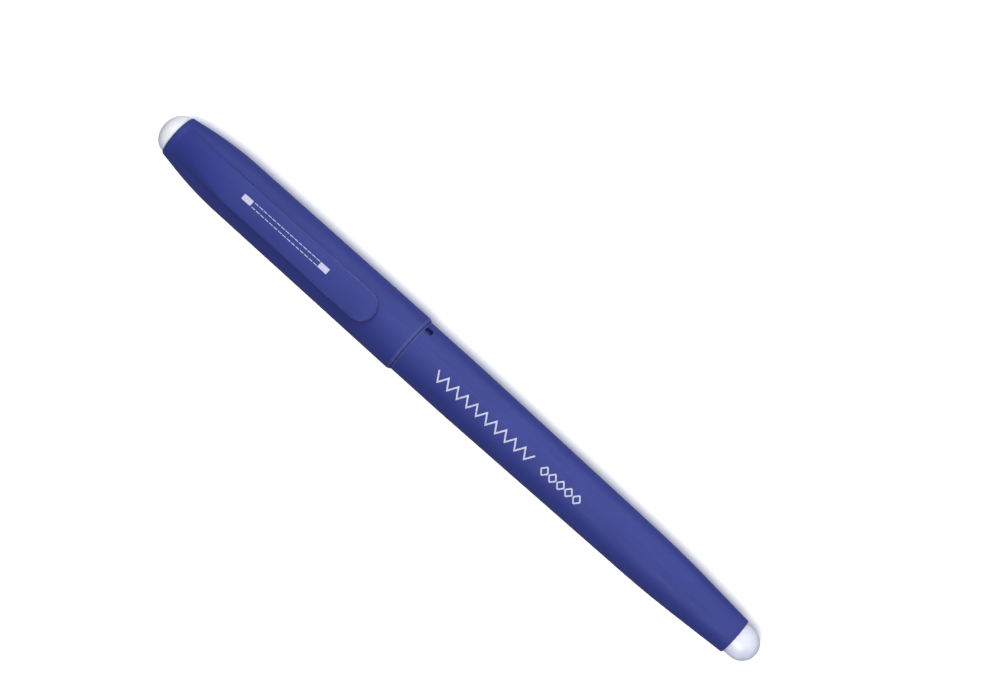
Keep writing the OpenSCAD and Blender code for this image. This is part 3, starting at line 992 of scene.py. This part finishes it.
def make_section():
    """The spigot, flange, snap bead, grip seat and nose seat, then back through the refill's bore."""
    spigot_r = 4.45
    flange = 0.02
    flange_r = 4.95
    neck_r = 4.7
    bead = sum(SNAP_GROOVE) / 2
    bead_half = 0.7
    bead_r = 5.06
    grip_seat = 8.95
    grip_seat_r = 3.7
    nose_seat = 22.5
    nose_seat_r = 3.25
    refill_bore_r = 3.08
    tip_bore_r = 2.75
    outline = [
        (SECTION_BACK, refill_bore_r, 0.1),
        (SECTION_BACK, spigot_r, 0.5),
        (flange, spigot_r, 0),
        (flange, flange_r, 0.1),
        (1.5, flange_r, 0.2),
        (1.9, neck_r, 0.3),
        (bead - bead_half, neck_r, 0.6),
        (bead, bead_r, 0.7),
        (bead + bead_half, neck_r, 0.6),
        (grip_seat - 0.35, neck_r, 0.3),
        (grip_seat, neck_r - 0.35, 0.1),
        (grip_seat, grip_seat_r, 0),
        (nose_seat, grip_seat_r, 0.1),
        (nose_seat, nose_seat_r, 0),
        (NOSE_BASE, nose_seat_r, 0.2),
        (NOSE_BASE, tip_bore_r, 0.1),
        (REFILL_STOP, tip_bore_r, 0.1),
        (REFILL_STOP, refill_bore_r, 0),
    ]
    piece = turned("section", outline)
    key_low = (-1.75, -0.7, 3.9)
    key_high = (0.06, 0.7, 5)
    key = block("key", key_low, key_high, 0.15, KEY_ANGLE)
    merge(piece, key, "UNION")
    return piece


def grip_radius(station):
    """The grip's radius, which falls evenly towards the nose."""
    back_r = radius_of("grip_sleeve")
    front_r = 4.25
    return blend_values(back_r, front_r, (station - GRIP_BACK) / (GRIP_FRONT - GRIP_BACK))


def make_grip():
    """The grip, ringed by round grooves."""
    grooves = 8
    pitch = 1.4
    first = GRIP_BACK + 2.95
    groove = 0.3
    lift = 0.05
    outline = [(GRIP_BACK, GRIP_BORE_R, 0), (GRIP_BACK, grip_radius(GRIP_BACK), 0.3)]
    for i in range(grooves):
        middle = first + i * pitch
        for a in steps(0, math.pi, 8):
            station = middle - groove * math.cos(a)
            outline.append((station, grip_radius(station) + lift - groove * math.sin(a), 0))
    outline += [(GRIP_FRONT, grip_radius(GRIP_FRONT), 0.3), (GRIP_FRONT, GRIP_BORE_R, 0)]
    return turned("grip", outline)


def make_nose():
    """The nose, whose collar closes the grip and whose bore narrows to the metal tip."""
    back = first_station("nose_cone")
    front = last_station("nose_cone")
    seat_r = 3.27
    skirt_r = 3.68
    collar = 26.5
    throat_r = 1.25
    outline = [
        (back, seat_r, 0),
        (back, skirt_r, 0.1),
        (collar, skirt_r, 0),
        (collar, 4.1, 0.12),
        (28, 3.85, 1.0),
        (30, 3.3, 1.2),
        (32, 2.65, 1.2),
        (front, 2.05, 0.4),
        (front, throat_r, 0.1),
        (30, throat_r, 0.3),
        (27, 2.2, 0.3),
        (NOSE_BASE + 0.1, 2.75, 0),
        (NOSE_BASE + 0.1, seat_r, 0),
    ]
    return turned("nose", outline)


# The section's navy stands in for the shade over its key in the barrel's window.
dress(make_section(), dark_blue_plastic, "dark_blue_plastic", "front_section", "section_body")
dress(make_grip(), grip_rubber, "grip_rubber", "front_section", "grip_sleeve")
dress(make_nose(), blue_plastic, "blue_plastic", "front_section", "nose_cone")

# ---------------------------------------------------------------------------
# Refill
# ---------------------------------------------------------------------------
REFILL_R = radius_of("refill_tube")
REFILL_BORE_R = 2.35
TUBE_BACK = first_station("refill_tube")
TUBE_FRONT = last_station("refill_tube")
INK_BORE_R = 0.62
INK_WETTING = 0.01
FOLLOWER_GAP = 0.03


def make_tube():
    outline = [
        (TUBE_BACK, REFILL_BORE_R, 0.1),
        (TUBE_BACK, REFILL_R, 0.15),
        (TUBE_FRONT, REFILL_R, 0.15),
        (TUBE_FRONT, REFILL_BORE_R, 0.1),
    ]
    return turned("refill_wall", outline, 128)


def make_ink():
    """The ink, which wets the wall with no air between them and ends just short of the grease."""
    back = first_station("ink_column") + FOLLOWER_GAP
    front = last_station("ink_column")
    outer = REFILL_BORE_R + INK_WETTING
    even = [(s, outer, 0) for s in steps(back + 1, front - 0.4, 24)]
    outline = [(back, 0, 0), (back, outer, 0.15)] + even + [(front, outer, 0.3), (front, 0, 0)]
    return turned("ink", outline, 128)


def make_grease():
    back = first_station("follower_grease")
    front = last_station("follower_grease") - FOLLOWER_GAP
    outer = REFILL_BORE_R - 0.04
    outline = [
        (back + 0.4, 0, 0),
        (back, outer * 0.9, 0.6),
        (back + 0.3, outer, 0.1),
        (front, outer, 0.15),
        (front, 0, 0),
    ]
    return turned("grease", outline, 128)


def make_float():
    back = first_station("follower_float")
    front = last_station("follower_float")
    outer = radius_of("follower_float")
    outline = [(back, 0, 0), (back, outer, 0.35), (front, outer, 0.35), (front, 0, 0)]
    return turned("float", outline, 64)


def make_tail_plug():
    back = first_station("refill_tail_plug")
    front = last_station("refill_tail_plug")
    joint = TUBE_BACK - 0.02
    stem = REFILL_BORE_R - 0.02
    vent = 0.6
    outline = [
        (back, vent, 0.1),
        (back, REFILL_R, 0.4),
        (joint, REFILL_R, 0.1),
        (joint, stem, 0),
        (front, stem, 0.4),
        (front, vent, 0.1),
    ]
    return turned("tail_plug", outline, 128)


def make_tip_holder():
    back = first_station("tip_holder")
    front = last_station("tip_holder")
    stem = REFILL_BORE_R - 0.02
    flange = TUBE_FRONT + 0.02
    neck_r = 2.55
    tip_seat = 19.9
    tip_bore_r = 1.02
    outline = [
        (back, INK_BORE_R, 0.1),
        (back, stem, 0.3),
        (flange, stem, 0),
        (flange, REFILL_R, 0.1),
        (REFILL_STOP, REFILL_R, 0.15),
        (REFILL_STOP, neck_r, 0),
        (21.5, neck_r, 0.6),
        (front, 1.75, 0.25),
        (front, tip_bore_r, 0),
        (tip_seat, tip_bore_r, 0),
        (tip_seat, INK_BORE_R, 0),
    ]
    return turned("tip_holder_body", outline, 128)


POINT = last_station("writing_ball")
BALL_R = radius_of("writing_ball")
BALL_STATION = POINT - BALL_R


def make_metal_tip():
    """The turned tip, whose rim closes round the ball."""
    back = first_station("writing_tip")
    shank = 1.0
    barrel = 1.17
    shoulder = 26
    cone = POINT - 3.1
    groove_r = barrel - 0.07
    feed_r = 0.22
    outline = [
        (back, INK_BORE_R, 0.05),
        (back, shank, 0.15),
        (shoulder, shank, 0),
        (shoulder, barrel, 0.12),
        (cone - 1.2, barrel, 0.05),
        (cone - 1.1, groove_r, 0.05),
        (cone - 0.7, groove_r, 0.05),
        (cone - 0.6, barrel, 0.05),
        (cone, barrel, 0.15),
        (cone + 0.3, barrel - 0.16, 0.2),
        (POINT - 0.34, 0.42, 0.05),
        (POINT - 0.2, BALL_R + 0.02, 0.03),
        (POINT - 0.22, 0.31, 0),
        (BALL_STATION - 0.25, 0.27, 0),
        (BALL_STATION - 0.35, feed_r, 0),
        (cone, feed_r, 0.1),
        (cone - 0.1, INK_BORE_R, 0.1),
    ]
    return turned("metal_tip", outline, 128)


def add_wire(bm, line, radius, sides):
    """A round wire along a line of points, with its rings square to it."""
    skew = Vector((0.1, 0.3, 1))
    rings = []
    for i, point in enumerate(line):
        heading = (line[min(i + 1, len(line) - 1)] - line[max(i - 1, 0)]).normalized()
        side = heading.cross(skew).normalized()
        other = heading.cross(side)
        ring = []
        for k in range(sides):
            angle = 2 * math.pi * k / sides
            spot = point + radius * (side * math.cos(angle) + other * math.sin(angle))
            ring.append(bm.verts.new(place(*spot)))
        rings.append(ring)
    for a, b in zip(rings, rings[1:]):
        for k in range(sides):
            bm.faces.new((a[k], a[(k + 1) % sides], b[(k + 1) % sides], b[k]))
    bm.faces.new(rings[0])
    bm.faces.new(rings[-1][::-1])


def make_spring():
    """A coiled wire with a straight end that reaches to the ball."""
    back = first_station("tip_spring") + 0.06
    wire_r = 0.055
    coil_r = 0.44
    coil_turns = 7
    per_turn = 28
    coil_length = 11
    line = []
    for i in range(coil_turns * per_turn + 1):
        angle = 2 * math.pi * i / per_turn
        station = back + coil_length * i / (coil_turns * per_turn)
        line.append(Vector((station, coil_r * math.cos(angle), coil_r * math.sin(angle))))
    push_start = back + coil_length + 0.6
    line += [Vector((s, 0, 0)) for s in steps(push_start, BALL_STATION - BALL_R - 0.06, 8)]
    bm = bmesh.new()
    add_wire(bm, line, wire_r, 10)
    return finish_mesh("spring", bm)


def make_ball():
    """The writing ball, a hair smaller than its box."""
    share = 0.995
    bm = bmesh.new()
    bmesh.ops.create_icosphere(bm, subdivisions=5, radius=share * BALL_R * MM)
    bmesh.ops.translate(bm, verts=bm.verts, vec=place(BALL_STATION, 0, 0))
    return finish_mesh("ball", bm)


ink = make_ink()
dress(make_tube(), refill_wall, "refill_wall", "front_section", "refill_tube")
dress(ink, ink_gel, "ink", "front_section", "ink_column")
dress(make_grease(), clear_grease, "grease", "ink_follower", "follower_grease")
dress(make_float(), natural_plastic, "natural_plastic", "ink_follower", "follower_float")
dress(make_tail_plug(), blue_plastic, "blue_plastic", "front_section", "refill_tail_plug")
dress(make_tip_holder(), natural_plastic, "natural_plastic", "front_section", "tip_holder")
dress(make_metal_tip(), tip_steel, "steel", "front_section", "writing_tip")
dress(make_spring(), spring_steel, "steel", "front_section", "tip_spring")
dress(make_ball(), ball_steel, "ball_metal", "ball", "writing_ball")

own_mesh(ink)


# ---------------------------------------------------------------------------
# Floor, light and camera
# ---------------------------------------------------------------------------
def make_floor():
    """A pale floor, which neither shows in the pen nor lights it from below."""
    half_size = 3
    dull = (0.91, 0.91, 0.905)
    bright = (0.93, 0.93, 0.925)
    bm = bmesh.new()
    bmesh.ops.create_grid(bm, x_segments=1, y_segments=1, size=half_size)
    bmesh.ops.translate(bm, verts=bm.verts, vec=Vector((0, 0, cad_box[0].z)))
    floor = finish_mesh("floor", bm)
    material = new_material("paper", bright, 0.9, {"Specular IOR Level": 0.1})
    cloud = spread(material, noise(material, size=40, detail=2), 0, 1)
    link(material, mixed(material, cloud, dull, bright), "Principled BSDF", "Base Color")
    floor.data.materials.append(material)
    floor.visible_diffuse = False
    floor.visible_glossy = False
    return floor


def area_light(name, place_mm, size_mm, watts):
    """A soft lamp that faces the pen's middle."""
    light = bpy.data.lights.new(name, "AREA")
    light.shape = "RECTANGLE"
    light.size = size_mm[0] * MM
    light.size_y = size_mm[1] * MM
    light.energy = watts
    lamp = bpy.data.objects.new(name, light)
    lamp.location = Vector(place_mm) * MM
    lamp.rotation_euler = (-Vector(place_mm)).to_track_quat("-Z", "Y").to_euler()
    bpy.context.scene.collection.objects.link(lamp)
    return lamp


def sun_light(name, from_mm, spread_degrees, strength, colour=(1, 1, 1)):
    """Even light from one side of the scene, softened over an angle."""
    light = bpy.data.lights.new(name, "SUN")
    light.color = colour
    light.angle = math.radians(spread_degrees)
    light.energy = strength
    lamp = bpy.data.objects.new(name, light)
    lamp.rotation_euler = (-Vector(from_mm)).to_track_quat("-Z", "Y").to_euler()
    bpy.context.scene.collection.objects.link(lamp)
    return lamp


def link_light(lamp, state, *things):
    """Keeps a lamp's light for some things, or keeps it off them."""
    group = bpy.data.collections.new(lamp.name + "_link")
    for thing in things:
        group.objects.link(thing)
    for linked in group.collection_objects:
        linked.light_linking.link_state = state
    lamp.light_linking.receiver_collection = group


LAVENDER = (0.78, 0.82, 1.0)

floor = make_floor()
key_lamp = area_light("key", place_mm=(40, -230, 460), size_mm=(480, 420), watts=1.44)
side_lamp = area_light("side", place_mm=(0, -520, 130), size_mm=(600, 200), watts=1.12)
fill_lamp = area_light("fill", place_mm=(-150, 190, 400), size_mm=(240, 240), watts=0.8)
for lamp in (key_lamp, side_lamp, fill_lamp):
    link_light(lamp, "EXCLUDE", floor)
floor_lamp = sun_light("floor_lamp", (0, 85, 560), spread_degrees=26, strength=3.6)
floor_fill = sun_light("floor_fill", (0, -300, 400), spread_degrees=40, strength=1.1, colour=LAVENDER)
dome_lamp = sun_light("dome_lamp", (0, 60, 400), spread_degrees=60, strength=0.2, colour=LAVENDER)
link_light(floor_lamp, "INCLUDE", floor)
link_light(floor_fill, "INCLUDE", floor)
link_light(dome_lamp, "INCLUDE", cap_dome, end_dome)

world = bpy.data.worlds.new("studio")
world.use_nodes = True
background = world.node_tree.nodes["Background"]
background.inputs["Color"].default_value = (0.93, 0.95, 1.0, 1)
background.inputs["Strength"].default_value = 0.27
bpy.context.scene.world = world

# Millimetres above the pen's axis, along and across it, and degrees.
CAMERA_DISTANCE = 450
CAMERA_FOOT = (-26, -33.8)
CAMERA_AIM = (-0.36, -10.28)
CAMERA_ROLL = 221.72
CAMERA_LENS = 89.84


def make_camera():
    """A camera nearly straight above the pen, rolled so that the pen lies across the view."""
    camera = bpy.data.objects.new("camera", bpy.data.cameras.new("camera"))
    camera.data.lens = CAMERA_LENS
    camera.data.clip_start = 0.01
    eye = Vector((CAMERA_FOOT[0] * MM, CAMERA_FOOT[1] * MM, AXIS_Z + CAMERA_DISTANCE * MM))
    aim = Vector((CAMERA_AIM[0] * MM, CAMERA_AIM[1] * MM, AXIS_Z))
    look = (aim - eye).normalized()
    right = look.cross(Vector((0, 1, 0))).normalized()
    up = right.cross(look)
    level = Matrix((right, up, -look)).transposed()
    roll = Matrix.Rotation(math.radians(CAMERA_ROLL), 3, "Z")
    camera.matrix_world = Matrix.Translation(eye) @ (level @ roll).to_4x4()
    bpy.context.scene.collection.objects.link(camera)
    bpy.context.scene.camera = camera


make_camera()
bpy.context.scene.view_settings.view_transform = "Standard"
